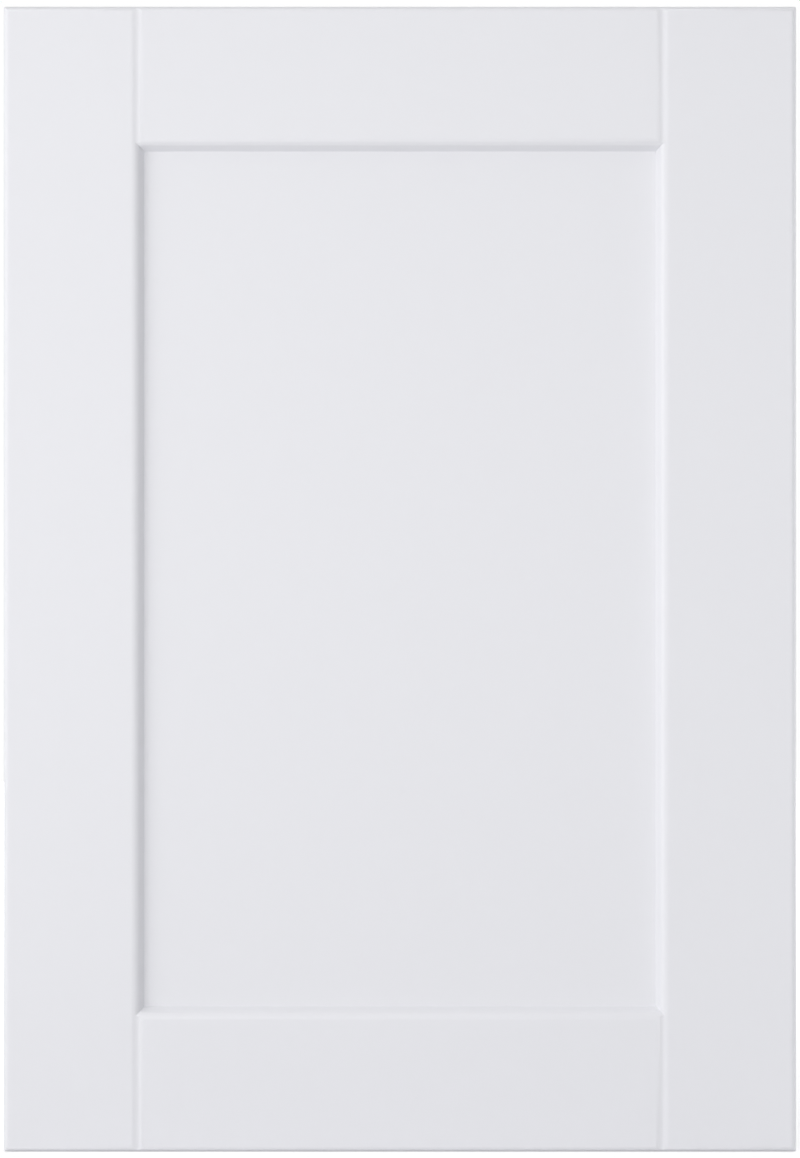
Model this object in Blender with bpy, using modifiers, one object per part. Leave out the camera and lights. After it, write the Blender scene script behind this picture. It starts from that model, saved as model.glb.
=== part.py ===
"""Shaker door for a kitchen cabinet, built from five pieces and eight dowels.

Two stiles and two rails frame a flat panel. The inner edge of every frame piece
carries the same moulding: a shallow slope at the face, then a steep bevel down to
the panel, with the panel groove behind it. Each rail end is coped over the
moulding of its stile, has a stub tenon that fills the stile's groove, and slopes
at the face to make a shallow V with its stile. Once the frame is together, its
outer edges are rounded and the edge of its opening gets an arris, mitred at the
corners. Two fluted dowels pin each joint. One stile is bored on its back for cup
hinges.

Metres, +Z up. The door stands on its bottom edge with its front towards -Y, and
the origin is at the middle of the bottom edge.
"""

import math

import bmesh
import bpy

# Door
DOOR_WIDTH = 0.495
DOOR_HEIGHT = 0.715
DOOR_THICKNESS = 0.020

# Frame pieces, measured from the door's edge to the foot of the bevel
STILE_WIDTH = 0.0875
RAIL_WIDTH = 0.0900

# Moulding along the inner edges, and one side of the V at each joint
V_WIDTH = 0.0038
V_DEPTH = 0.00065
BEVEL_WIDTH = 0.0037

# Arris round the opening, as deep as where it meets the bevel
ARRIS_WIDTH = 0.0030
ARRIS_DEPTH = 0.0013

# Outer edges and corners
EDGE_RADIUS = 0.0035
EDGE_RADIUS_STEPS = 8
EASED_EDGE = 0.0007

# Panel and the groove that holds it
PANEL_THICKNESS = 0.008
PANEL_RECESS = 0.0070
PANEL_CHAMFER = 0.0010
GROOVE_DEPTH = 0.0100
PANEL_FACE_CLEARANCE = 0.0003
PANEL_EDGE_CLEARANCE = 0.0005

# Joint between stile and rail
JOINT_GAP = 0.0003

# Dowels
DOWEL_RADIUS = 0.0030
DOWEL_LENGTH = 0.0300
DOWEL_FLUTES = 12
DOWEL_FLUTE_DEPTH = 0.0003
DOWEL_TIP_LENGTH = 0.0015
DOWEL_TIP_RADIUS = 0.0023
DOWEL_SIDE_CLEARANCE = 0.0003
DOWEL_END_CLEARANCE = 0.0008
DOWEL_INSETS = (0.0240, 0.0560)
DOWEL_HOLE_SEGMENTS = 24

# Bores for cup hinges with knock-in sleeves
CUP_RADIUS = 0.0175
CUP_DEPTH = 0.0125
CUP_INSET = 0.0225
CUP_FROM_END = 0.1000
CUP_SEGMENTS = 48
SLEEVE_RADIUS = 0.0040
SLEEVE_DEPTH = 0.0120
SLEEVE_SPACING = 0.0450
SLEEVE_BEHIND_CUP = 0.0095
SLEEVE_SEGMENTS = 24

# Cutters run past the faces that they cut by this much
OVERRUN = 0.0050

# Merge distance for the loose caps of an extruded outline
WELD_DISTANCE = 0.000001

# Angle above which an edge stays sharp
SHARP_ANGLE = math.radians(30)

# Sizes that follow from those above
FRONT_Y = -DOOR_THICKNESS / 2
BACK_Y = DOOR_THICKNESS / 2
GROOVE_FRONT = PANEL_RECESS - PANEL_FACE_CLEARANCE
GROOVE_BACK = PANEL_RECESS + PANEL_THICKNESS + PANEL_FACE_CLEARANCE
PANEL_MIDDLE = PANEL_RECESS + PANEL_THICKNESS / 2
SHOULDER = STILE_WIDTH + JOINT_GAP
TENON_TIP = STILE_WIDTH - GROOVE_DEPTH + JOINT_GAP


def clear_scene():
    """Remove every object of the open file."""
    for old in list(bpy.data.objects):
        bpy.data.objects.remove(old, do_unlink=True)


def new_collection(name):
    """Add a collection to the scene."""
    collection = bpy.data.collections.new(name)
    bpy.context.scene.collection.children.link(collection)
    return collection


def principled(name, colour, roughness):
    """Make a plain material with a Principled shader."""
    material = bpy.data.materials.new(name)
    material.use_nodes = True
    shader = material.node_tree.nodes["Principled BSDF"]
    shader.inputs["Base Color"].default_value = (*colour, 1.0)
    shader.inputs["Roughness"].default_value = roughness
    shader.inputs["Metallic"].default_value = 0.0
    material.diffuse_color = (*colour, 1.0)
    return material


def shade_round(mesh):
    """Shade round faces smooth and keep the true edges sharp."""
    mesh.shade_smooth()
    mesh.set_sharp_from_angle(angle=SHARP_ANGLE)


def extruded(name, outline, length, collection):
    """Extrude a closed outline along Z, centred on z = 0, as one closed mesh."""
    curve = bpy.data.curves.new(name, "CURVE")
    curve.dimensions = "2D"
    curve.fill_mode = "BOTH"
    curve.extrude = length / 2
    spline = curve.splines.new("POLY")
    spline.points.add(len(outline) - 1)
    for point, (u, v) in zip(spline.points, outline):
        point.co = (u, v, 0.0, 1.0)
    spline.use_cyclic_u = True
    guide = bpy.data.objects.new(name + "_outline", curve)
    collection.objects.link(guide)
    graph = bpy.context.evaluated_depsgraph_get()
    mesh = bpy.data.meshes.new_from_object(guide.evaluated_get(graph))
    mesh.name = name
    shape = bmesh.new()
    shape.from_mesh(mesh)
    bmesh.ops.remove_doubles(shape, verts=shape.verts, dist=WELD_DISTANCE)
    bmesh.ops.recalc_face_normals(shape, faces=shape.faces)
    shape.to_mesh(mesh)
    shape.free()
    shade_round(mesh)
    piece = bpy.data.objects.new(name, mesh)
    piece.matrix_world = guide.matrix_world
    collection.objects.link(piece)
    bpy.data.objects.remove(guide, do_unlink=True)
    return piece


def round_bar(name, radius, length, segments, collection):
    """Make a cylinder along Z, centred on z = 0."""
    mesh = bpy.data.meshes.new(name)
    shape = bmesh.new()
    bmesh.ops.create_cone(
        shape,
        cap_ends=True,
        segments=segments,
        radius1=radius,
        radius2=radius,
        depth=length,
    )
    shape.to_mesh(mesh)
    shape.free()
    shade_round(mesh)
    bar = bpy.data.objects.new(name, mesh)
    collection.objects.link(bar)
    return bar


def hide_cutter(cutter):
    """Show a cutter as wire and keep it out of renders."""
    cutter.hide_render = True
    cutter.display_type = "WIRE"


def trim(piece, operation, tools):
    """Shape a piece with each tool by a live Boolean."""
    for tool in tools:
        boolean = piece.modifiers.new(tool.name, "BOOLEAN")
        boolean.operation = operation
        boolean.solver = "EXACT"
        boolean.object = tool


def frame_section(width):
    """Section of a stile or a rail, with the moulding and the panel groove.

    Each point is the distance in from the door's edge and the depth from its face.
    """
    return [
        (-OVERRUN, 0.0),
        (-OVERRUN, DOOR_THICKNESS),
        (width - EASED_EDGE, DOOR_THICKNESS),
        (width, DOOR_THICKNESS - EASED_EDGE),
        (width, GROOVE_BACK),
        (width - GROOVE_DEPTH, GROOVE_BACK),
        (width - GROOVE_DEPTH, GROOVE_FRONT),
        (width, GROOVE_FRONT),
        (width - BEVEL_WIDTH, V_DEPTH),
        (width - BEVEL_WIDTH - V_WIDTH, 0.0),
    ]


def cope_section():
    """Everything that a rail end leaves to its stile, with the joint's gap."""
    v_bottom = STILE_WIDTH - BEVEL_WIDTH + JOINT_GAP
    flare = V_WIDTH * (V_DEPTH + OVERRUN) / V_DEPTH
    tenon_front = GROOVE_FRONT + PANEL_FACE_CLEARANCE
    tenon_back = GROOVE_BACK - PANEL_FACE_CLEARANCE
    return [
        (-OVERRUN, -OVERRUN),
        (v_bottom + flare, -OVERRUN),
        (v_bottom, V_DEPTH),
        (SHOULDER, GROOVE_FRONT),
        (SHOULDER, tenon_front),
        (TENON_TIP, tenon_front),
        (TENON_TIP, tenon_back),
        (SHOULDER, tenon_back),
        (SHOULDER, DOOR_THICKNESS + OVERRUN),
        (-OVERRUN, DOOR_THICKNESS + OVERRUN),
    ]


def put_left(piece):
    """Place a shape drawn along Z on the door's left edge, full height."""
    piece.location = (-DOOR_WIDTH / 2, FRONT_Y, DOOR_HEIGHT / 2)


def put_right(piece):
    """Place a shape drawn along Z on the door's right edge, turned to face left."""
    piece.rotation_euler = (0.0, math.pi, 0.0)
    piece.location = (DOOR_WIDTH / 2, FRONT_Y, DOOR_HEIGHT / 2)


def put_bottom(piece):
    """Place a shape drawn along Z on the door's bottom edge, full width."""
    piece.rotation_euler = (0.0, -math.pi / 2, 0.0)
    piece.location = (0.0, FRONT_Y, 0.0)


def put_top(piece):
    """Place a shape drawn along Z on the door's top edge, turned to face down."""
    piece.rotation_euler = (0.0, math.pi / 2, 0.0)
    piece.location = (0.0, FRONT_Y, DOOR_HEIGHT)


def door_outline(cutters):
    """The door's outer form, round at the front and corners and eased at the back."""
    mesh = bpy.data.meshes.new("door_outline")
    shape = bmesh.new()
    bmesh.ops.create_cube(shape, size=1.0)
    size = (DOOR_WIDTH, DOOR_THICKNESS, DOOR_HEIGHT)
    bmesh.ops.scale(shape, vec=size, verts=shape.verts)
    round_edges = [edge for edge in shape.edges if min(end.co.y for end in edge.verts) < 0.0]
    round_over(shape, round_edges, EDGE_RADIUS, EDGE_RADIUS_STEPS)
    at_back = DOOR_THICKNESS / 2 - WELD_DISTANCE
    back_edges = [edge for edge in shape.edges if min(end.co.y for end in edge.verts) > at_back]
    round_over(shape, back_edges, EASED_EDGE, 1)
    shape.to_mesh(mesh)
    shape.free()
    shade_round(mesh)
    outline = bpy.data.objects.new("door_outline", mesh)
    outline.location = (0.0, 0.0, DOOR_HEIGHT / 2)
    cutters.objects.link(outline)
    hide_cutter(outline)
    return outline


def round_over(shape, edges, radius, steps):
    """Bevel some edges of a mesh to a round of this many steps."""
    bmesh.ops.bevel(
        shape,
        geom=edges,
        offset=radius,
        offset_type="OFFSET",
        segments=steps,
        profile=0.5,
        affect="EDGES",
        clamp_overlap=True,
        material=-1,
    )


def opening_arris(cutters):
    """Cutter for the arris, a shallow block that widens towards the front."""
    mesh = bpy.data.meshes.new("opening_arris")
    shape = bmesh.new()
    bmesh.ops.create_cube(shape, size=1.0)
    on_bevel = BEVEL_WIDTH * (GROOVE_FRONT - ARRIS_DEPTH) / (GROOVE_FRONT - V_DEPTH)
    for corner in shape.verts:
        depth = ARRIS_DEPTH * 1.5 if corner.co.y > 0.0 else -OVERRUN
        outwards = on_bevel + (ARRIS_DEPTH - depth) * ARRIS_WIDTH / ARRIS_DEPTH
        half_width = DOOR_WIDTH / 2 - STILE_WIDTH + outwards
        half_height = DOOR_HEIGHT / 2 - RAIL_WIDTH + outwards
        corner.co.x = math.copysign(half_width, corner.co.x)
        corner.co.y = FRONT_Y + depth
        corner.co.z = math.copysign(half_height, corner.co.z)
    shape.to_mesh(mesh)
    shape.free()
    arris = bpy.data.objects.new("opening_arris", mesh)
    arris.location = (0.0, 0.0, DOOR_HEIGHT / 2)
    cutters.objects.link(arris)
    hide_cutter(arris)
    return arris


def copes(cutters):
    """Cutters that shape the rail ends, one for each stile."""
    made = []
    for name, place in (("cope_left", put_left), ("cope_right", put_right)):
        cope = extruded(name, cope_section(), DOOR_HEIGHT + 2 * OVERRUN, cutters)
        place(cope)
        hide_cutter(cope)
        made.append(cope)
    return made


def dowel_places():
    """Name, side and height of each dowel."""
    places = []
    for side_name, side in (("left", -1), ("right", 1)):
        for number, inset in enumerate(DOWEL_INSETS, start=1):
            places.append((f"{side_name}_bottom_{number}", side, inset))
            places.append((f"{side_name}_top_{number}", side, DOOR_HEIGHT - inset))
    return places


def lay_along_x(bar, side, height):
    """Lay a bar that was made along Z across a joint, half in each piece."""
    bar.rotation_euler = (0.0, math.pi / 2, 0.0)
    middle = DOOR_WIDTH / 2 - (TENON_TIP - JOINT_GAP / 2)
    bar.location = (side * middle, FRONT_Y + PANEL_MIDDLE, height)


def dowel_holes(cutters):
    """Cutters for the dowel holes, each through a tenon and into both pieces."""
    holes = {-1: [], 1: []}
    radius = DOWEL_RADIUS + DOWEL_SIDE_CLEARANCE
    length = DOWEL_LENGTH + 2 * DOWEL_END_CLEARANCE
    for name, side, height in dowel_places():
        hole = round_bar("hole_" + name, radius, length, DOWEL_HOLE_SEGMENTS, cutters)
        lay_along_x(hole, side, height)
        hide_cutter(hole)
        holes[side].append((height, hole))
    return holes


def hinge_bores(cutters):
    """Cutters for the hinge cups and sleeves, from the back of the left stile."""
    bores = []
    cup_x = -DOOR_WIDTH / 2 + CUP_INSET
    sleeve_x = cup_x + SLEEVE_BEHIND_CUP
    for end, height in (("lower", CUP_FROM_END), ("upper", DOOR_HEIGHT - CUP_FROM_END)):
        cup = round_bar(end + "_cup", CUP_RADIUS, CUP_DEPTH + OVERRUN, CUP_SEGMENTS, cutters)
        bores.append(bore_from_back(cup, CUP_DEPTH, cup_x, height))
        for number, offset in enumerate((-SLEEVE_SPACING / 2, SLEEVE_SPACING / 2), start=1):
            name = f"{end}_sleeve_{number}"
            sleeve = round_bar(name, SLEEVE_RADIUS, SLEEVE_DEPTH + OVERRUN, SLEEVE_SEGMENTS, cutters)
            bores.append(bore_from_back(sleeve, SLEEVE_DEPTH, sleeve_x, height + offset))
    return bores


def bore_from_back(bar, depth, x, z):
    """Place a bar so that it bores this deep into the back face."""
    bar.rotation_euler = (math.pi / 2, 0.0, 0.0)
    bar.location = (x, BACK_Y - depth + (depth + OVERRUN) / 2, z)
    hide_cutter(bar)
    return bar


def make_stiles(collection, lacquer, outline, arris, holes, bores):
    """The two uprights, which run the full height of the door."""
    for name, side, place in (("left_stile", -1, put_left), ("right_stile", 1, put_right)):
        stile = extruded(name, frame_section(STILE_WIDTH), DOOR_HEIGHT + 2 * OVERRUN, collection)
        place(stile)
        stile.data.materials.append(lacquer)
        trim(stile, "INTERSECT", [outline])
        trim(stile, "DIFFERENCE", [arris])
        trim(stile, "DIFFERENCE", [hole for _, hole in holes[side]])
        if side < 0:
            trim(stile, "DIFFERENCE", bores)


def make_rails(collection, lacquer, outline, arris, coping, holes):
    """The two crosspieces, coped to fit between the stiles."""
    both_sides = holes[-1] + holes[1]
    for name, place, is_top in (("bottom_rail", put_bottom, False), ("top_rail", put_top, True)):
        rail = extruded(name, frame_section(RAIL_WIDTH), DOOR_WIDTH, collection)
        place(rail)
        rail.data.materials.append(lacquer)
        at_this_end = [hole for height, hole in both_sides if (height > DOOR_HEIGHT / 2) == is_top]
        trim(rail, "INTERSECT", [outline])
        trim(rail, "DIFFERENCE", [arris] + coping + at_this_end)


def make_panel(collection, lacquer):
    """The flat panel, which sits in the groove on all four sides."""
    buried = GROOVE_DEPTH - PANEL_EDGE_CLEARANCE
    width = DOOR_WIDTH - 2 * (STILE_WIDTH - buried)
    height = DOOR_HEIGHT - 2 * (RAIL_WIDTH - buried)
    mesh = bpy.data.meshes.new("centre_panel")
    shape = bmesh.new()
    bmesh.ops.create_cube(shape, size=1.0)
    bmesh.ops.scale(shape, vec=(width, PANEL_THICKNESS, height), verts=shape.verts)
    shape.to_mesh(mesh)
    shape.free()
    panel = bpy.data.objects.new("centre_panel", mesh)
    panel.location = (0.0, FRONT_Y + PANEL_MIDDLE, DOOR_HEIGHT / 2)
    collection.objects.link(panel)
    chamfer = panel.modifiers.new("edge_chamfer", "BEVEL")
    chamfer.width = PANEL_CHAMFER
    chamfer.segments = 1
    panel.data.materials.append(lacquer)


def fluted_dowel_mesh():
    """A dowel along Z with glue flutes and tapered tips."""
    mesh = bpy.data.meshes.new("dowel")
    shape = bmesh.new()
    tip = DOWEL_LENGTH / 2
    body = tip - DOWEL_TIP_LENGTH
    bmesh.ops.create_circle(shape, segments=2 * DOWEL_FLUTES, radius=DOWEL_TIP_RADIUS)
    bmesh.ops.translate(shape, vec=(0.0, 0.0, -tip), verts=shape.verts)
    rim = shape.edges[:]
    for height, fluted in ((-body, True), (body, True), (tip, False)):
        grown = bmesh.ops.extrude_edge_only(shape, edges=rim)["geom"]
        rim = [part for part in grown if isinstance(part, bmesh.types.BMEdge)]
        place_ring([part for part in grown if isinstance(part, bmesh.types.BMVert)], height, fluted)
    bmesh.ops.holes_fill(shape, edges=shape.edges[:])
    bmesh.ops.recalc_face_normals(shape, faces=shape.faces)
    shape.to_mesh(mesh)
    shape.free()
    shade_round(mesh)
    return mesh


def place_ring(corners, height, fluted):
    """Lift a ring of the dowel to its height, with every other corner in a flute."""
    for corner in corners:
        angle = math.atan2(corner.co.y, corner.co.x)
        number = round(angle * DOWEL_FLUTES / math.pi)
        radius = DOWEL_RADIUS - (number % 2) * DOWEL_FLUTE_DEPTH if fluted else DOWEL_TIP_RADIUS
        corner.co = (radius * math.cos(angle), radius * math.sin(angle), height)


def make_dowels(collection, beech):
    """Two fluted dowels for each joint."""
    mesh = fluted_dowel_mesh()
    mesh.materials.append(beech)
    for name, side, height in dowel_places():
        dowel = bpy.data.objects.new("dowel_" + name, mesh)
        lay_along_x(dowel, side, height)
        collection.objects.link(dowel)


def main():
    clear_scene()
    door = new_collection("shaker_door")
    cutters = new_collection("cutters")
    lacquer = principled("white_lacquer", (0.80, 0.80, 0.84), 0.45)
    beech = principled("beech", (0.56, 0.40, 0.24), 0.60)
    outline = door_outline(cutters)
    arris = opening_arris(cutters)
    holes = dowel_holes(cutters)
    make_stiles(door, lacquer, outline, arris, holes, hinge_bores(cutters))
    make_rails(door, lacquer, outline, arris, copes(cutters), holes)
    make_panel(door, lacquer)
    make_dowels(door, beech)


main()
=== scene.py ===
"""The looks of a white shaker door for a kitchen cabinet.

The stiles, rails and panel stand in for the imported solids, with finely rounded
edges and closed joints, in satin white lacquer. The hinge bores show bare
fibreboard, and the dowels inside the joints are beech.
"""

import math

import bmesh
import bpy
from mathutils import Matrix, Vector


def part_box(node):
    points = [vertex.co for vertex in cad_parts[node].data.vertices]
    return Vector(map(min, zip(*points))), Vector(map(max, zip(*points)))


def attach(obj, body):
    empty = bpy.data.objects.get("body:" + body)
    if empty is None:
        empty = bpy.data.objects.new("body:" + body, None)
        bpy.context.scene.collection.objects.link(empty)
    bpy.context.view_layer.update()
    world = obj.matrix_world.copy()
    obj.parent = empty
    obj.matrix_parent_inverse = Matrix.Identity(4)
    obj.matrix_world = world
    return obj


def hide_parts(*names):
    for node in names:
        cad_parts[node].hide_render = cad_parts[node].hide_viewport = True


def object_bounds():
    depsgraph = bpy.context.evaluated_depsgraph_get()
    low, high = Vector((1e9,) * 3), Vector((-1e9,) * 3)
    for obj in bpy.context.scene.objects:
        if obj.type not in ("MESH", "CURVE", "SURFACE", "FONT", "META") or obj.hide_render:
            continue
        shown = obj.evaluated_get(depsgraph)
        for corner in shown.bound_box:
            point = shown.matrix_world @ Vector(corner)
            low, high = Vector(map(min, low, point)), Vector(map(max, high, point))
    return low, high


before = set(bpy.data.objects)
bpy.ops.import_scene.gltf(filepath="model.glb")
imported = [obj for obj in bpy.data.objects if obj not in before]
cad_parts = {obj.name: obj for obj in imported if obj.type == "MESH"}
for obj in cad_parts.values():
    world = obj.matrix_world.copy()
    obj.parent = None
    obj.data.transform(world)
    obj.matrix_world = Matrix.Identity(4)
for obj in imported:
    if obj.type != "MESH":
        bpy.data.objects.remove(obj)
CAD_LOW, CAD_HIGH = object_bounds()

# Door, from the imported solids
STILE_LOW, STILE_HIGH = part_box("left_stile")
RAIL_LOW, RAIL_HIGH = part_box("bottom_rail")
PANEL_LOW, PANEL_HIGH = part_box("centre_panel")
DOOR_WIDTH = CAD_HIGH.x - CAD_LOW.x
DOOR_HEIGHT = CAD_HIGH.z - CAD_LOW.z
DOOR_THICKNESS = CAD_HIGH.y - CAD_LOW.y
DOOR_MIDDLE = (CAD_LOW + CAD_HIGH) / 2
STILE_WIDTH = STILE_HIGH.x - STILE_LOW.x
RAIL_WIDTH = RAIL_HIGH.z - RAIL_LOW.z
FRONT_Y = CAD_LOW.y
BACK_Y = CAD_HIGH.y

# Moulding along the inner edges, and one side of the V at each joint
V_WIDTH = 0.0042
V_DEPTH = 0.00065
V_STEPS = 8
BEVEL_WIDTH = 0.0037
ARRIS_WIDTH = 0.0030
ARRIS_DEPTH = 0.0013
ARRIS_SOFTENING = 0.0009
ARRIS_STEPS = 6

# Outer edges and corners
EDGE_RADIUS = 0.0035
CORNER_RADIUS = 0.0018
EDGE_STEPS = 16
EASED_EDGE = 0.0007
EASED_STEPS = 4

# Panel, groove and joints, with a hairline between the pieces
GROOVE_DEPTH = 0.0100
HAIRLINE = 0.00002
PANEL_FRONT = PANEL_LOW.y - FRONT_Y
PANEL_BACK = PANEL_HIGH.y - FRONT_Y
GROOVE_FRONT = PANEL_FRONT - HAIRLINE
GROOVE_BACK = PANEL_BACK + HAIRLINE
DOWELS = [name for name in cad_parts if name.startswith("dowel_")]
DOWEL_CLEARANCE = 0.0003
DOWEL_END_CLEARANCE = 0.0008
DOWEL_HOLE_SIDES = 32

# Hinge bores
CUP_RADIUS = 0.0175
CUP_DEPTH = 0.0125
CUP_INSET = 0.0225
CUP_FROM_END = 0.1000
CUP_SIDES = 96
SLEEVE_RADIUS = 0.0040
SLEEVE_DEPTH = 0.0120
SLEEVE_SPACING = 0.0450
SLEEVE_BEHIND_CUP = 0.0095
SLEEVE_SIDES = 48
DRILL_POINT_RADIUS = 0.0016
DRILL_POINT_DEPTH = 0.0014
DRILL_POINT_SIDES = 24
BORE_CHAMFER = 0.0003
CUP_X = CAD_LOW.x + CUP_INSET
CUP_HEIGHTS = (CUP_FROM_END, DOOR_HEIGHT - CUP_FROM_END)

# How far the cutters pass what they cut, and how the cut pieces are cleaned and smoothed
OVERRUN = 0.0050
COPE_RISE = 0.00025
MOULDING_RISE = 0.00125
MOULDING_DROP = 0.0005
SKIM = 0.00001
WELD = 0.000001
SHARP_ANGLE = math.radians(24)
NORMAL_WEIGHT = 90

# Material slot of the bare board, after the lacquer's
BARE = 1

# Camera: the door fills the frame of 800 by 1158 pixels, seen straight on
IMAGE_HEIGHT = 1158
METRES_PER_PIXEL = 0.00062379
CAMERA_DISTANCE = 2.2
SENSOR = 36.0
CLIP_END = 100.0

# Floor, and how its glow grows from near the door to far from it
FLOOR_HALF = 4.0
FLOOR_GLOW = 0.36
GLOW_NEAR = 0.4
GLOW_FAR = 2.5

# Sky: the direction that each light grows towards, the half that it keeps to, its strength
SKY = (
    ((-1.0, 0.0, 0.0), (0.0, -1.0, 0.0), 0.73),
    ((0.0, 0.0, 1.0), (0.0, -1.0, 0.0), 0.84),
    ((0.0, 1.0, 0.0), (0.0, 1.0, 0.0), 1.20),
)

# Lamps: name, place, size and power
LAMPS = (
    ("key", (-1.936, -1.366, 0.774), (1.2, 1.2), 15.2),
    ("front_fill", (0.0, -3.0, 0.95), (2.4, 1.8), 23.8),
    ("right_rim", (3.0, 0.55, 0.36), (0.9, 1.2), 24.0),
    ("back_fill", (0.8, 3.2, 1.6), (2.4, 2.0), 25.0),
)


def new_object(name, shape, materials=()):
    """Turn a bmesh into an object at the origin."""
    mesh = bpy.data.meshes.new(name)
    shape.to_mesh(mesh)
    shape.free()
    for material in materials:
        mesh.materials.append(material)
    piece = bpy.data.objects.new(name, mesh)
    bpy.context.scene.collection.objects.link(piece)
    return piece


def round_over(shape, edges, radius, steps):
    """Bevel some edges of a mesh to a round of this many steps."""
    bmesh.ops.bevel(
        shape,
        geom=edges,
        affect="EDGES",
        offset=radius,
        offset_type="OFFSET",
        segments=steps,
        profile=0.5,
        clamp_overlap=True,
        material=-1,
    )


def prism(corners, length):
    """Extrude a section along Z from 0, with its marked corners rounded.

    Each corner is (across, depth, offset, steps); an offset of 0 stays sharp.
    """
    shape = bmesh.new()
    points = [shape.verts.new((across, depth, 0.0)) for across, depth, _, _ in corners]
    shape.faces.new(points)
    for point, (_, _, offset, steps) in zip(points, corners):
        if offset:
            bmesh.ops.bevel(
                shape,
                geom=[point],
                affect="VERTICES",
                offset=offset,
                segments=steps,
                profile=0.5,
                material=-1,
            )
    grown = bmesh.ops.extrude_face_region(shape, geom=shape.faces[:])["geom"]
    far = [part for part in grown if isinstance(part, bmesh.types.BMVert)]
    bmesh.ops.translate(shape, vec=(0.0, 0.0, length), verts=far)
    bmesh.ops.recalc_face_normals(shape, faces=shape.faces)
    return shape


def lay(shape, side, length):
    """Move a prism from Z into its place along one side of the door."""
    half_width = DOOR_WIDTH / 2
    place = {
        "left": Matrix.Translation((-half_width, FRONT_Y, (DOOR_HEIGHT - length) / 2)),
        "right": Matrix.Translation((half_width, FRONT_Y, (DOOR_HEIGHT + length) / 2))
        @ Matrix.Rotation(math.pi, 4, "Y"),
        "bottom": Matrix.Translation((length / 2, FRONT_Y, 0.0))
        @ Matrix.Rotation(-math.pi / 2, 4, "Y"),
        "top": Matrix.Translation((-length / 2, FRONT_Y, DOOR_HEIGHT))
        @ Matrix.Rotation(math.pi / 2, 4, "Y"),
    }[side]
    bmesh.ops.transform(shape, matrix=place, verts=shape.verts)
    return shape


def v_side(bottom, way):
    """Section of one side of the V, which the lacquer rounds at its bottom and top."""
    points = []
    for step in range(V_STEPS + 1):
        share = step / V_STEPS
        depth = V_DEPTH * (1 + math.cos(math.pi * share)) / 2
        points.append((bottom + way * V_WIDTH * share, depth, 0.0, 0))
    return points


def frame_section(width):
    """Section of a stile or rail: distance in from the door's edge, depth from its face."""
    return [
        (-OVERRUN, 0.0, 0.0, 0),
        (-OVERRUN, DOOR_THICKNESS, 0.0, 0),
        (width, DOOR_THICKNESS, EASED_EDGE, EASED_STEPS),
        (width, GROOVE_BACK, 0.0, 0),
        (width - GROOVE_DEPTH, GROOVE_BACK, 0.0, 0),
        (width - GROOVE_DEPTH, GROOVE_FRONT, 0.0, 0),
        (width, GROOVE_FRONT, 0.0, 0),
    ] + v_side(width - BEVEL_WIDTH, -1)


def cope_section():
    """What a rail end leaves to its stile, a hairline away from it."""
    shoulder = STILE_WIDTH + HAIRLINE
    tip = shoulder - GROOVE_DEPTH
    v_bottom = shoulder - BEVEL_WIDTH
    v_top = v_bottom + V_WIDTH
    return [
        (-OVERRUN, -OVERRUN, 0.0, 0),
        (v_top + OVERRUN, -OVERRUN, 0.0, 0),
        (v_top + OVERRUN, -COPE_RISE, 0.0, 0),
    ] + v_side(v_bottom, 1)[::-1] + [
        (shoulder, GROOVE_FRONT, 0.0, 0),
        (shoulder, PANEL_FRONT, 0.0, 0),
        (tip, PANEL_FRONT, 0.0, 0),
        (tip, PANEL_BACK, 0.0, 0),
        (shoulder, PANEL_BACK, 0.0, 0),
        (shoulder, DOOR_THICKNESS + OVERRUN, 0.0, 0),
        (-OVERRUN, DOOR_THICKNESS + OVERRUN, 0.0, 0),
    ]


def outer_form(name, side, width, length):
    """The door's section across its width, round at the front and eased at the back."""
    section = [
        (0.0, 0.0, EDGE_RADIUS, EDGE_STEPS),
        (0.0, DOOR_THICKNESS, EASED_EDGE, EASED_STEPS),
        (width, DOOR_THICKNESS, EASED_EDGE, EASED_STEPS),
        (width, 0.0, EDGE_RADIUS, EDGE_STEPS),
    ]
    return new_object(name, lay(prism(section, length), side, length))


def corner_form():
    """The door seen from the front, with its four corners rounded."""
    shape = bmesh.new()
    bmesh.ops.create_cube(shape, size=1.0)
    deep = DOOR_THICKNESS + 2 * OVERRUN
    bmesh.ops.scale(shape, vec=(DOOR_WIDTH, deep, DOOR_HEIGHT), verts=shape.verts)
    bmesh.ops.translate(shape, vec=DOOR_MIDDLE, verts=shape.verts)
    through = [edge for edge in shape.edges if abs(edge.verts[0].co.y - edge.verts[1].co.y) > WELD]
    round_over(shape, through, CORNER_RADIUS, EDGE_STEPS)
    return new_object("corner_form", shape)


def opening_reach(depth):
    """How far the opening reaches past the foot of its bevel, at a depth from the face."""
    on_bevel = BEVEL_WIDTH / (GROOVE_FRONT - V_DEPTH)
    on_arris = ARRIS_WIDTH / ARRIS_DEPTH
    at_arris = on_bevel * (GROOVE_FRONT - ARRIS_DEPTH)
    above = ARRIS_DEPTH - depth
    if above > ARRIS_SOFTENING:
        return at_arris + on_arris * above
    if above < -ARRIS_SOFTENING:
        return at_arris + on_bevel * above
    rounding = (on_arris - on_bevel) * (above + ARRIS_SOFTENING) ** 2 / (4 * ARRIS_SOFTENING)
    return at_arris + on_bevel * above + rounding


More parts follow.
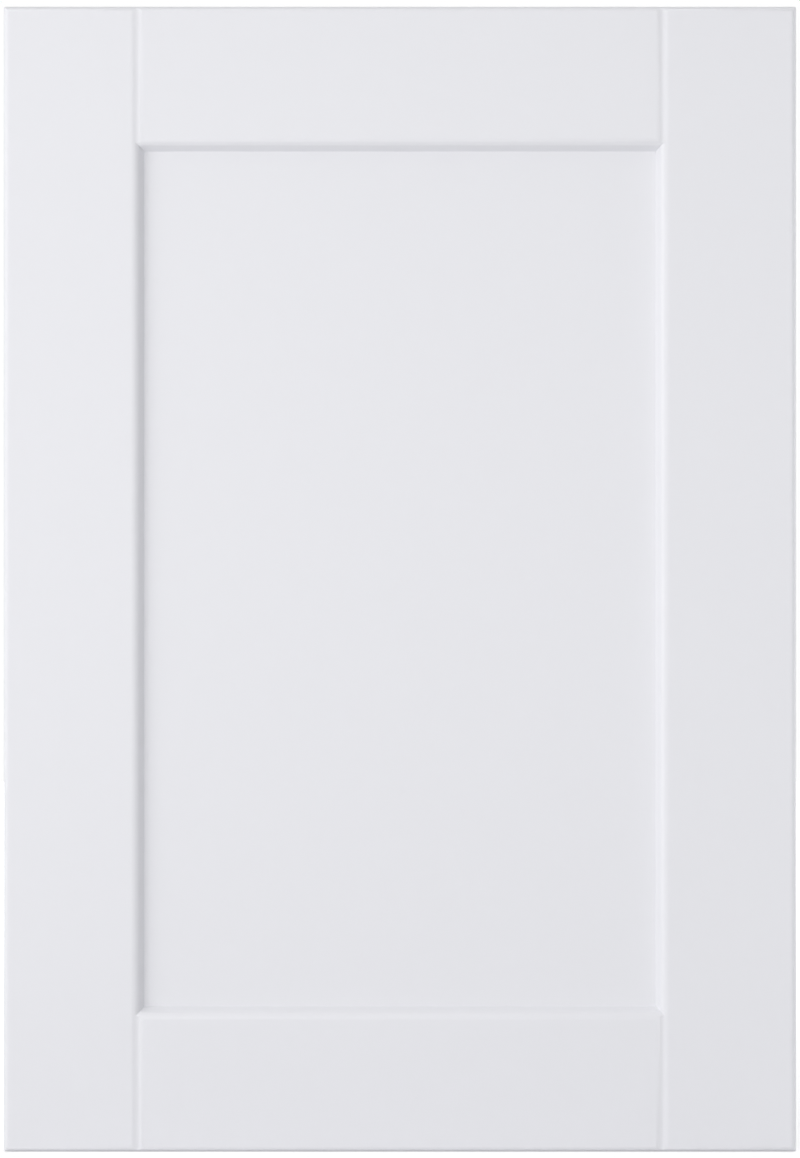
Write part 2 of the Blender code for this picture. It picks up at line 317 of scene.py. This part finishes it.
def opening_moulding():
    """A block that cuts the arris and the steep bevel of the opening, mitred at its corners."""
    shape = bmesh.new()
    bmesh.ops.create_cube(shape, size=1.0)
    top = -MOULDING_RISE
    bottom = PANEL_FRONT + MOULDING_DROP
    bmesh.ops.scale(shape, vec=(1.0, bottom - top, 1.0), verts=shape.verts)
    bmesh.ops.translate(shape, vec=(0.0, (bottom + top) / 2, 0.0), verts=shape.verts)
    for step in range(ARRIS_STEPS + 1):
        depth = ARRIS_DEPTH + ARRIS_SOFTENING * (2 * step / ARRIS_STEPS - 1)
        everything = shape.verts[:] + shape.edges[:] + shape.faces[:]
        bmesh.ops.bisect_plane(
            shape, geom=everything, plane_co=(0.0, depth, 0.0), plane_no=(0.0, 1.0, 0.0)
        )
    for corner in shape.verts:
        outwards = opening_reach(corner.co.y) + SKIM
        half_width = DOOR_WIDTH / 2 - STILE_WIDTH + outwards
        half_height = DOOR_HEIGHT / 2 - RAIL_WIDTH + outwards
        corner.co.x = DOOR_MIDDLE.x + math.copysign(half_width, corner.co.x)
        corner.co.y += FRONT_Y
        corner.co.z = DOOR_MIDDLE.z + math.copysign(half_height, corner.co.z)
    return new_object("opening_moulding", shape)


def add_bore(shape, axis, middle, radii, length, sides):
    """Add a round cutter to a mesh, lying along X or Y, with a radius for each end."""
    made = bmesh.ops.create_cone(
        shape, cap_ends=True, segments=sides, radius1=radii[0], radius2=radii[1], depth=length
    )["verts"]
    turn = Matrix.Rotation(math.pi / 2, 4, {"X": "Y", "Y": "X"}[axis])
    bmesh.ops.transform(shape, matrix=Matrix.Translation(middle) @ turn, verts=made)


def bare_cutter(name, shape):
    """Make a cutter that leaves the bare board where it cuts."""
    for face in shape.faces:
        face.material_index = BARE
    return new_object(name, shape)


def hinge_holes():
    """Place, radius, depth and sides of each cup and sleeve."""
    holes = []
    for height in CUP_HEIGHTS:
        holes.append((CUP_X, height, CUP_RADIUS, CUP_DEPTH, CUP_SIDES))
        for offset in (-SLEEVE_SPACING / 2, SLEEVE_SPACING / 2):
            place = (CUP_X + SLEEVE_BEHIND_CUP, height + offset)
            holes.append((*place, SLEEVE_RADIUS, SLEEVE_DEPTH, SLEEVE_SIDES))
    return holes


def hinge_bores():
    """Cutter for the hinge cups and their sleeves."""
    shape = bmesh.new()
    for across, height, radius, depth, sides in hinge_holes():
        middle = (across, BACK_Y + (OVERRUN - depth) / 2, height)
        add_bore(shape, "Y", middle, (radius, radius), depth + OVERRUN, sides)
    return bare_cutter("hinge_bores", shape)


def bore_chamfers():
    """Cutter that takes the burr off the mouth of each cup and sleeve."""
    shape = bmesh.new()
    for across, height, radius, _, sides in hinge_holes():
        radii = (radius + 2 * BORE_CHAMFER, radius - 2 * BORE_CHAMFER)
        middle = (across, BACK_Y - BORE_CHAMFER, height)
        add_bore(shape, "Y", middle, radii, 4 * BORE_CHAMFER, sides)
    return bare_cutter("bore_chamfers", shape)


def drill_points():
    """Cutter for the small pits that the cup drill's centre point leaves."""
    shape = bmesh.new()
    for height in CUP_HEIGHTS:
        middle = (CUP_X, BACK_Y - CUP_DEPTH, height)
        radii = (2 * DRILL_POINT_RADIUS, 0.0)
        add_bore(shape, "Y", middle, radii, 2 * DRILL_POINT_DEPTH, DRILL_POINT_SIDES)
    return bare_cutter("drill_points", shape)


def dowel_holes():
    """Cutter for the dowel holes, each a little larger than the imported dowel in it."""
    shape = bmesh.new()
    for name in DOWELS:
        low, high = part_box(name)
        radius = (high.z - low.z) / 2 + DOWEL_CLEARANCE
        length = high.x - low.x + 2 * DOWEL_END_CLEARANCE
        add_bore(shape, "X", (low + high) / 2, (radius, radius), length, DOWEL_HOLE_SIDES)
    return bare_cutter("dowel_holes", shape)


def cut(piece, operation, tools):
    """Shape a piece with each tool, and keep the cleaned result as its mesh."""
    for tool in tools:
        boolean = piece.modifiers.new(tool.name, "BOOLEAN")
        boolean.operation = operation
        boolean.solver = "EXACT"
        boolean.material_mode = "INDEX"
        boolean.object = tool
        graph = bpy.context.evaluated_depsgraph_get()
        shaped = bpy.data.meshes.new_from_object(piece.evaluated_get(graph))
        piece.modifiers.clear()
        shape = bmesh.new()
        shape.from_mesh(shaped)
        bmesh.ops.remove_doubles(shape, verts=shape.verts, dist=WELD)
        bmesh.ops.dissolve_degenerate(shape, edges=shape.edges, dist=WELD)
        shape.to_mesh(shaped)
        shape.free()
        rough = piece.data
        piece.data = shaped
        bpy.data.meshes.remove(rough)


def finish_piece(piece, nodes):
    """Smooth a piece's rounds and put it in the place of its solid."""
    mesh = piece.data
    mesh.name = piece.name
    mesh.shade_smooth()
    mesh.set_sharp_from_angle(angle=SHARP_ANGLE)
    even = piece.modifiers.new("even_normals", "WEIGHTED_NORMAL")
    even.weight = NORMAL_WEIGHT
    even.keep_sharp = True
    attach(piece, "root")
    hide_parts(*nodes)


def make_frame(materials):
    """The two stiles and the two rails."""
    length = DOOR_HEIGHT + 2 * OVERRUN
    ends = outer_form("end_form", "bottom", DOOR_HEIGHT, DOOR_WIDTH + 2 * OVERRUN)
    sides = [outer_form("side_form", "left", DOOR_WIDTH, length), corner_form()]
    moulding = opening_moulding()
    holes = dowel_holes()
    bores = [hinge_bores(), bore_chamfers(), drill_points()]
    copes = [
        new_object("cope_" + side, lay(prism(cope_section(), length), side, length))
        for side in ("left", "right")
    ]
    for side in ("left", "right"):
        shape = lay(prism(frame_section(STILE_WIDTH), length), side, length)
        stile = new_object(side + "_stile_lacquered", shape, materials)
        cut(stile, "INTERSECT", [ends] + sides)
        cut(stile, "DIFFERENCE", [moulding, holes])
        if side == "left":
            cut(stile, "DIFFERENCE", bores)
        finish_piece(stile, [side + "_stile"])
    for side in ("bottom", "top"):
        shape = lay(prism(frame_section(RAIL_WIDTH), DOOR_WIDTH), side, DOOR_WIDTH)
        rail = new_object(side + "_rail_lacquered", shape, materials)
        cut(rail, "DIFFERENCE", copes)
        cut(rail, "INTERSECT", [ends])
        cut(rail, "DIFFERENCE", [moulding, holes])
        finish_piece(rail, [side + "_rail"])
    for tool in [ends, moulding, holes] + sides + bores + copes:
        bpy.data.objects.remove(tool, do_unlink=True)


def make_panel(materials):
    """The flat panel, eased along its hidden edges."""
    shape = bmesh.new()
    bmesh.ops.create_cube(shape, size=1.0)
    bmesh.ops.scale(shape, vec=PANEL_HIGH - PANEL_LOW, verts=shape.verts)
    bmesh.ops.translate(shape, vec=(PANEL_LOW + PANEL_HIGH) / 2, verts=shape.verts)
    round_over(shape, shape.edges[:], EASED_EDGE, EASED_STEPS)
    finish_piece(new_object("panel_lacquered", shape, materials), ["centre_panel"])


def principled(name):
    """A new material, with its node tree and its Principled shader."""
    material = bpy.data.materials.new(name)
    material.use_nodes = True
    tree = material.node_tree
    return material, tree, tree.nodes["Principled BSDF"]


def add_node(tree, kind, **settings):
    """Add a node and set its properties."""
    node = tree.nodes.new(kind)
    for key, value in settings.items():
        setattr(node, key, value)
    return node


def larger(tree, first, second):
    """The larger of two values."""
    node = add_node(tree, "ShaderNodeMath", operation="MAXIMUM")
    tree.links.new(first, node.inputs[0])
    tree.links.new(second, node.inputs[1])
    return node.outputs[0]


def add_relief(tree, shader, height, strength, distance):
    """Raise a surface by a height that varies over it."""
    relief = add_node(tree, "ShaderNodeBump")
    relief.inputs["Strength"].default_value = strength
    relief.inputs["Distance"].default_value = distance
    tree.links.new(height, relief.inputs["Height"])
    tree.links.new(relief.outputs["Normal"], shader.inputs["Normal"])


def new_group(name, inputs, outputs):
    """A shader node group with named sockets, and its input and output nodes."""
    tree = bpy.data.node_groups.new(name, "ShaderNodeTree")
    for label, kind, default in inputs:
        socket = tree.interface.new_socket(label, in_out="INPUT", socket_type="NodeSocket" + kind)
        if default is not None:
            socket.default_value = default
    for label, kind in outputs:
        tree.interface.new_socket(label, in_out="OUTPUT", socket_type="NodeSocket" + kind)
    return tree, add_node(tree, "NodeGroupInput"), add_node(tree, "NodeGroupOutput")


def film_group():
    """Sprayed film: faint mottle, orange peel, slow waves and a few dust nibs."""
    tree, inside, outside = new_group(
        "sprayed_film",
        (
            ("Vector", "Vector", None),
            ("Color", "Color", (0.8, 0.8, 0.8, 1.0)),
            ("Mottle", "Float", 0.01),
            ("Roughness", "Float", 0.4),
            ("Peel Scale", "Float", 420.0),
            ("Peel", "Float", 0.5),
            ("Nibs", "Float", 0.5),
        ),
        (("Color", "Color"), ("Roughness", "Float"), ("Height", "Float")),
    )
    link = tree.links.new

    cloud = add_node(tree, "ShaderNodeTexNoise")
    cloud.inputs["Scale"].default_value = 7.0
    cloud.inputs["Detail"].default_value = 3.0
    link(inside.outputs["Vector"], cloud.inputs["Vector"])
    spread = add_node(tree, "ShaderNodeMath", operation="SUBTRACT")
    spread.inputs[1].default_value = 0.5
    link(cloud.outputs["Fac"], spread.inputs[0])
    gain = add_node(tree, "ShaderNodeMath", operation="MULTIPLY_ADD")
    gain.inputs[2].default_value = 1.0
    link(spread.outputs[0], gain.inputs[0])
    link(inside.outputs["Mottle"], gain.inputs[1])
    tint = add_node(tree, "ShaderNodeVectorMath", operation="SCALE")
    link(inside.outputs["Color"], tint.inputs[0])
    link(gain.outputs[0], tint.inputs["Scale"])
    link(tint.outputs[0], outside.inputs["Color"])

    peel = add_node(tree, "ShaderNodeTexNoise")
    peel.inputs["Detail"].default_value = 2.0
    peel.inputs["Roughness"].default_value = 0.45
    link(inside.outputs["Vector"], peel.inputs["Vector"])
    link(inside.outputs["Peel Scale"], peel.inputs["Scale"])
    waves = add_node(tree, "ShaderNodeTexNoise")
    waves.inputs["Scale"].default_value = 45.0
    waves.inputs["Detail"].default_value = 1.0
    link(inside.outputs["Vector"], waves.inputs["Vector"])
    film = add_node(tree, "ShaderNodeMath", operation="MULTIPLY_ADD")
    link(peel.outputs["Fac"], film.inputs[0])
    link(inside.outputs["Peel"], film.inputs[1])
    link(waves.outputs["Fac"], film.inputs[2])

    dust = add_node(tree, "ShaderNodeTexVoronoi", feature="F1")
    dust.inputs["Scale"].default_value = 38.0
    dust.inputs["Randomness"].default_value = 1.0
    link(inside.outputs["Vector"], dust.inputs["Vector"])
    nib = add_node(tree, "ShaderNodeMapRange", interpolation_type="SMOOTHSTEP")
    nib.inputs["From Min"].default_value = 0.012
    nib.inputs["From Max"].default_value = 0.004
    link(dust.outputs["Distance"], nib.inputs["Value"])
    raised = add_node(tree, "ShaderNodeMath", operation="MULTIPLY_ADD")
    link(nib.outputs["Result"], raised.inputs[0])
    link(inside.outputs["Nibs"], raised.inputs[1])
    link(film.outputs[0], raised.inputs[2])
    link(raised.outputs[0], outside.inputs["Height"])

    sheen = add_node(tree, "ShaderNodeMath", operation="MULTIPLY_ADD")
    sheen.inputs[1].default_value = 0.10
    link(spread.outputs[0], sheen.inputs[0])
    link(inside.outputs["Roughness"], sheen.inputs[2])
    link(sheen.outputs[0], outside.inputs["Roughness"])
    return tree


def lacquer_material(group):
    """Satin white lacquer from the sprayed film group."""
    material, tree, shader = principled("satin_lacquer")
    link = tree.links.new
    place = add_node(tree, "ShaderNodeTexCoord")
    film = add_node(tree, "ShaderNodeGroup", node_tree=group)
    film.inputs["Color"].default_value = (0.798, 0.80, 0.832, 1.0)
    film.inputs["Mottle"].default_value = 0.012
    film.inputs["Roughness"].default_value = 0.42
    film.inputs["Peel"].default_value = 0.5
    film.inputs["Nibs"].default_value = 0.4
    link(place.outputs["Object"], film.inputs["Vector"])
    link(film.outputs["Color"], shader.inputs["Base Color"])
    link(film.outputs["Roughness"], shader.inputs["Roughness"])
    add_relief(tree, shader, film.outputs["Height"], strength=1.0, distance=0.00005)
    shader.inputs["IOR"].default_value = 1.48
    return material


def fibre_group():
    """Pressed or cut wood fibre, stretched along one axis by the vector's scale."""
    tree, inside, outside = new_group(
        "wood_fibre",
        (
            ("Vector", "Vector", None),
            ("Dark", "Color", (0.3, 0.2, 0.1, 1.0)),
            ("Light", "Color", (0.5, 0.35, 0.2, 1.0)),
            ("Fibre Scale", "Float", 600.0),
        ),
        (("Color", "Color"), ("Height", "Float")),
    )
    link = tree.links.new
    fibre = add_node(tree, "ShaderNodeTexNoise")
    fibre.inputs["Detail"].default_value = 6.0
    fibre.inputs["Roughness"].default_value = 0.7
    fibre.inputs["Distortion"].default_value = 0.6
    link(inside.outputs["Vector"], fibre.inputs["Vector"])
    link(inside.outputs["Fibre Scale"], fibre.inputs["Scale"])
    spread = add_node(tree, "ShaderNodeMapRange")
    spread.inputs["From Min"].default_value = 0.3
    spread.inputs["From Max"].default_value = 0.7
    link(fibre.outputs["Fac"], spread.inputs["Value"])
    mix = add_node(tree, "ShaderNodeMix", data_type="RGBA")
    link(spread.outputs["Result"], mix.inputs["Factor"])
    link(inside.outputs["Dark"], mix.inputs["A"])
    link(inside.outputs["Light"], mix.inputs["B"])
    link(mix.outputs["Result"], outside.inputs["Color"])
    link(fibre.outputs["Fac"], outside.inputs["Height"])
    return tree


def raw_board_material(group):
    """Bare fibreboard in a bore, scored in rings by the drill."""
    material, tree, shader = principled("bare_fibreboard")
    link = tree.links.new
    place = add_node(tree, "ShaderNodeTexCoord")
    fibre = add_node(tree, "ShaderNodeGroup", node_tree=group)
    fibre.inputs["Dark"].default_value = (0.30, 0.20, 0.11, 1.0)
    fibre.inputs["Light"].default_value = (0.52, 0.38, 0.24, 1.0)
    fibre.inputs["Fibre Scale"].default_value = 900.0
    link(place.outputs["Object"], fibre.inputs["Vector"])
    link(fibre.outputs["Color"], shader.inputs["Base Color"])

    parts = add_node(tree, "ShaderNodeSeparateXYZ")
    link(place.outputs["Object"], parts.inputs[0])
    from_middle = add_node(tree, "ShaderNodeMath", operation="SUBTRACT")
    from_middle.inputs[1].default_value = DOOR_HEIGHT / 2
    link(parts.outputs["Z"], from_middle.inputs[0])
    either_end = add_node(tree, "ShaderNodeMath", operation="ABSOLUTE")
    link(from_middle.outputs[0], either_end.inputs[0])
    up = add_node(tree, "ShaderNodeMath", operation="SUBTRACT")
    up.inputs[1].default_value = DOOR_HEIGHT / 2 - CUP_FROM_END
    link(either_end.outputs[0], up.inputs[0])
    across = add_node(tree, "ShaderNodeMath", operation="SUBTRACT")
    across.inputs[1].default_value = CUP_X
    link(parts.outputs["X"], across.inputs[0])
    centred = add_node(tree, "ShaderNodeCombineXYZ")
    link(across.outputs[0], centred.inputs["X"])
    link(up.outputs[0], centred.inputs["Z"])
    rings = add_node(tree, "ShaderNodeTexWave", wave_type="RINGS", rings_direction="Y")
    rings.inputs["Scale"].default_value = 260.0
    rings.inputs["Distortion"].default_value = 1.5
    rings.inputs["Detail"].default_value = 2.0
    link(centred.outputs[0], rings.inputs["Vector"])
    scored = add_node(tree, "ShaderNodeMath", operation="MULTIPLY_ADD")
    scored.inputs[1].default_value = 0.5
    link(rings.outputs["Fac"], scored.inputs[0])
    link(fibre.outputs["Height"], scored.inputs[2])
    add_relief(tree, shader, scored.outputs[0], strength=0.8, distance=0.0002)
    shader.inputs["Roughness"].default_value = 0.9
    return material


def beech_material(group):
    """Bare beech with its grain along the dowel."""
    material, tree, shader = principled("beech_dowel")
    link = tree.links.new
    place = add_node(tree, "ShaderNodeTexCoord")
    along = add_node(tree, "ShaderNodeMapping")
    along.inputs["Scale"].default_value = (0.06, 1.0, 1.0)
    link(place.outputs["Object"], along.inputs["Vector"])
    fibre = add_node(tree, "ShaderNodeGroup", node_tree=group)
    fibre.inputs["Dark"].default_value = (0.38, 0.24, 0.13, 1.0)
    fibre.inputs["Light"].default_value = (0.62, 0.45, 0.28, 1.0)
    fibre.inputs["Fibre Scale"].default_value = 1400.0
    link(along.outputs["Vector"], fibre.inputs["Vector"])
    link(fibre.outputs["Color"], shader.inputs["Base Color"])
    add_relief(tree, shader, fibre.outputs["Height"], strength=1.0, distance=0.0001)
    shader.inputs["Roughness"].default_value = 0.7
    return material


def finish_dowels(beech):
    """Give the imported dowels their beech."""
    for name in DOWELS:
        bpy.data.objects[name].material_slots[0].material = beech


def make_floor():
    """A plain pale floor that keeps the door's soft shadow."""
    shape = bmesh.new()
    bmesh.ops.create_grid(shape, x_segments=1, y_segments=1, size=FLOOR_HALF)
    material, tree, shader = principled("pale_floor")
    shader.inputs["Base Color"].default_value = (0.80, 0.80, 0.81, 1.0)
    shader.inputs["Roughness"].default_value = 0.9
    shader.inputs["Specular IOR Level"].default_value = 0.1
    rays = add_node(tree, "ShaderNodeLightPath")
    seen = larger(tree, rays.outputs["Is Camera Ray"], rays.outputs["Is Glossy Ray"])
    place = add_node(tree, "ShaderNodeTexCoord")
    distance = add_node(tree, "ShaderNodeVectorMath", operation="LENGTH")
    tree.links.new(place.outputs["Object"], distance.inputs[0])
    glow = add_node(tree, "ShaderNodeMapRange", interpolation_type="SMOOTHSTEP")
    glow.inputs["From Min"].default_value = GLOW_NEAR
    glow.inputs["From Max"].default_value = GLOW_FAR
    glow.inputs["To Min"].default_value = FLOOR_GLOW
    glow.inputs["To Max"].default_value = 1.0
    tree.links.new(distance.outputs["Value"], glow.inputs["Value"])
    share = add_node(tree, "ShaderNodeMath", operation="MULTIPLY")
    tree.links.new(seen, share.inputs[0])
    tree.links.new(glow.outputs["Result"], share.inputs[1])
    tree.links.new(share.outputs[0], shader.inputs["Emission Strength"])
    shader.inputs["Emission Color"].default_value = (1.0, 1.0, 1.0, 1.0)
    floor = new_object("floor", shape, [material])


def sky_light(tree):
    """A grey that grows towards each direction of SKY, within the half it keeps to."""
    place = add_node(tree, "ShaderNodeTexCoord")

    def facing(direction, operation):
        along = add_node(tree, "ShaderNodeVectorMath", operation="DOT_PRODUCT")
        along.inputs[1].default_value = direction
        tree.links.new(place.outputs["Generated"], along.inputs[0])
        share = add_node(tree, "ShaderNodeMath", operation=operation)
        share.inputs[1].default_value = 0.0
        tree.links.new(along.outputs["Value"], share.inputs[0])
        return share.outputs[0]

    total = None
    for direction, half, strength in SKY:
        gain = add_node(tree, "ShaderNodeMath", operation="MULTIPLY")
        gain.inputs[1].default_value = strength
        tree.links.new(facing(half, "GREATER_THAN"), gain.inputs[0])
        share = add_node(tree, "ShaderNodeMath", operation="MULTIPLY_ADD")
        share.inputs[2].default_value = 0.0
        tree.links.new(facing(direction, "MAXIMUM"), share.inputs[0])
        tree.links.new(gain.outputs[0], share.inputs[1])
        if total is not None:
            tree.links.new(total, share.inputs[2])
        total = share.outputs[0]
    return total


def make_world():
    """White where it is seen, mirrored or seen through glass, and soft light otherwise."""
    world = bpy.data.worlds.new("studio")
    bpy.context.scene.world = world
    world.use_nodes = True
    tree = world.node_tree
    backdrop = tree.nodes["Background"]
    rays = add_node(tree, "ShaderNodeLightPath")
    seen = larger(tree, rays.outputs["Is Camera Ray"], rays.outputs["Is Glossy Ray"])
    seen_or_through = larger(tree, seen, rays.outputs["Is Transmission Ray"])
    tone = add_node(tree, "ShaderNodeMix", data_type="RGBA")
    tone.inputs["B"].default_value = (1.0, 1.0, 1.0, 1.0)
    tree.links.new(sky_light(tree), tone.inputs["A"])
    tree.links.new(seen_or_through, tone.inputs["Factor"])
    tree.links.new(tone.outputs["Result"], backdrop.inputs["Color"])


def soft_light(name, place, size, power):
    """A white rectangular lamp turned to the middle of the door."""
    lamp = bpy.data.lights.new(name, "AREA")
    lamp.shape = "RECTANGLE"
    lamp.size, lamp.size_y = size
    lamp.energy = power
    holder = bpy.data.objects.new(name, lamp)
    holder.location = place
    towards = DOOR_MIDDLE - Vector(place)
    holder.rotation_euler = towards.to_track_quat("-Z", "Y").to_euler()
    bpy.context.scene.collection.objects.link(holder)


def make_camera():
    """A camera straight in front of the door, framing it as the photograph does."""
    seen_height = IMAGE_HEIGHT * METRES_PER_PIXEL
    camera = bpy.data.cameras.new("front_camera")
    camera.sensor_width = SENSOR
    camera.lens = SENSOR * CAMERA_DISTANCE / seen_height
    camera.clip_end = CLIP_END
    holder = bpy.data.objects.new("front_camera", camera)
    holder.location = (DOOR_MIDDLE.x, FRONT_Y - CAMERA_DISTANCE, DOOR_MIDDLE.z)
    holder.rotation_euler = (math.pi / 2, 0.0, 0.0)
    bpy.context.scene.collection.objects.link(holder)
    bpy.context.scene.camera = holder


def main():
    """Dress the door and set up its studio."""
    lacquer = lacquer_material(film_group())
    fibre = fibre_group()
    make_frame([lacquer, raw_board_material(fibre)])
    make_panel([lacquer])
    finish_dowels(beech_material(fibre))
    make_floor()
    make_world()
    for lamp in LAMPS:
        soft_light(*lamp)
    make_camera()
    bpy.context.scene.view_settings.view_transform = "Standard"


main()
